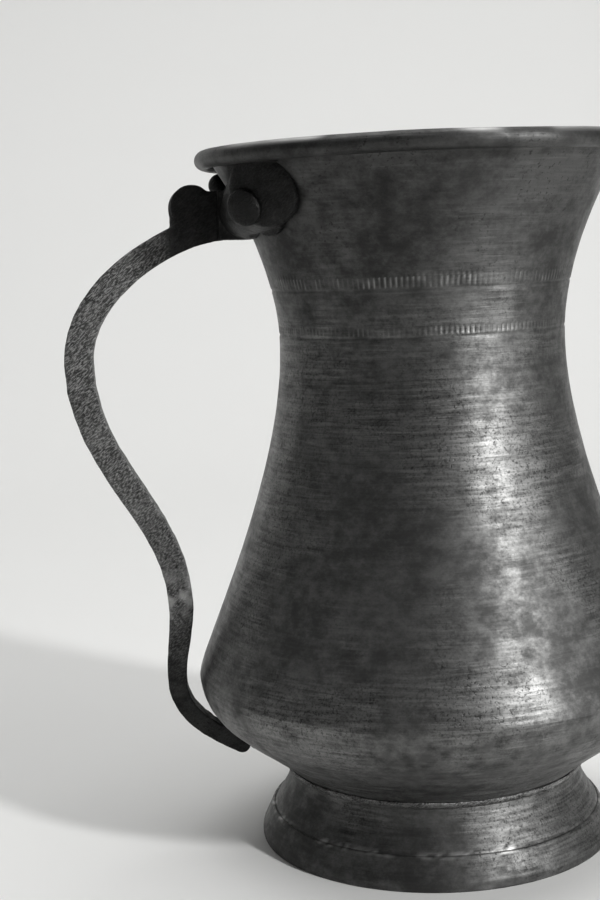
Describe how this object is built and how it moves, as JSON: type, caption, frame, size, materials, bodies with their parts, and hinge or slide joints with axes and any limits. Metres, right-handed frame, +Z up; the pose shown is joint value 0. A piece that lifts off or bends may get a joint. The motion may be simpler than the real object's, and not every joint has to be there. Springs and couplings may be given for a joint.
{
  "type": "tankard",
  "caption": "Footed metal tankard with a pear-shaped body, waisted neck, flared rolled rim, hooped foot and an S-shaped bar handle on an eared saddle.",
  "frame": {"origin": "on the vessel's axis, at the centre of the foot's bottom face", "axes": "+Z up along the vessel's axis to the mouth, -X towards the handle, Y across the handle's plane"},
  "size_m": [0.1531, 0.1226, 0.18],
  "materials": {
    "pewter_wall": "dark aged pewter with fine turning lines, rubbed bright on edges",
    "pewter_bowl": "dark aged pewter, planished with a hammer",
    "pewter_foot": "dark aged pewter with turning lines and pits",
    "forged_bar": "forged and filed, dark with worn bright spots",
    "rivet": "dark hammered rivet",
    "rim_core": "drawn wire, hidden in the rolled rim",
    "solder": "dull soft solder, brighter where rubbed"
  },
  "bodies": {
    "root": {"upper_wall": "pewter_wall", "rim_wire": "rim_core", "bowl": "pewter_bowl", "foot_ring": "pewter_foot", "foot_hoop": "pewter_foot", "foot_solder": "solder", "saddle_plate": "forged_bar", "rivets": "rivet", "handle": "forged_bar", "tip_solder": "solder"}
  },
  "joints": []
}
